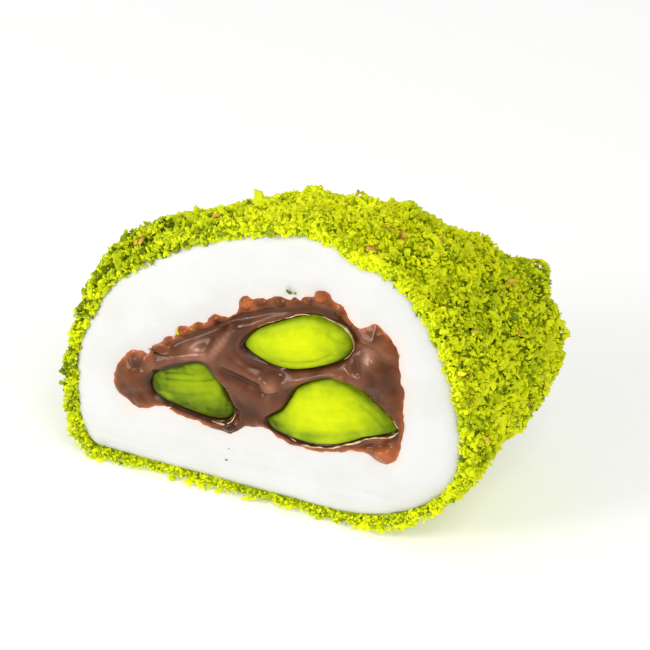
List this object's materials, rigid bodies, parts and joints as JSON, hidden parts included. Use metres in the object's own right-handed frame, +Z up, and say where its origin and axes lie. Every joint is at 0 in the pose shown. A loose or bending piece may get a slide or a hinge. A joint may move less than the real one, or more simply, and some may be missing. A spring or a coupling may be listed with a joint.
{
  "type": "turkish delight half",
  "caption": "Half of a soft filled sweet with a crushed pistachio coat, cut open to show white nougat, chocolate cream and pistachio kernels.",
  "frame": {"origin": "middle of the bounding box's underside, on the surface the piece stands on", "axes": "+Z up; the cut face looks along -Y; +X runs across the cut, to the right when facing it"},
  "size_m": [0.0528, 0.0286, 0.0364],
  "materials": {
    "crushed_pistachio": "finely crushed pistachio, rough and matte",
    "whipped_nougat": "smooth soft knife cut",
    "chocolate_cream": "glossy smeared cream",
    "pistachio_kernel": "waxy satin nut flesh with a thin dry skin"
  },
  "bodies": {
    "root": {"pistachio_coat": "crushed_pistachio", "nougat": "whipped_nougat", "chocolate_cream": "chocolate_cream", "pistachio_top": "pistachio_kernel", "pistachio_right": "pistachio_kernel", "pistachio_left": "pistachio_kernel"}
  },
  "joints": []
}
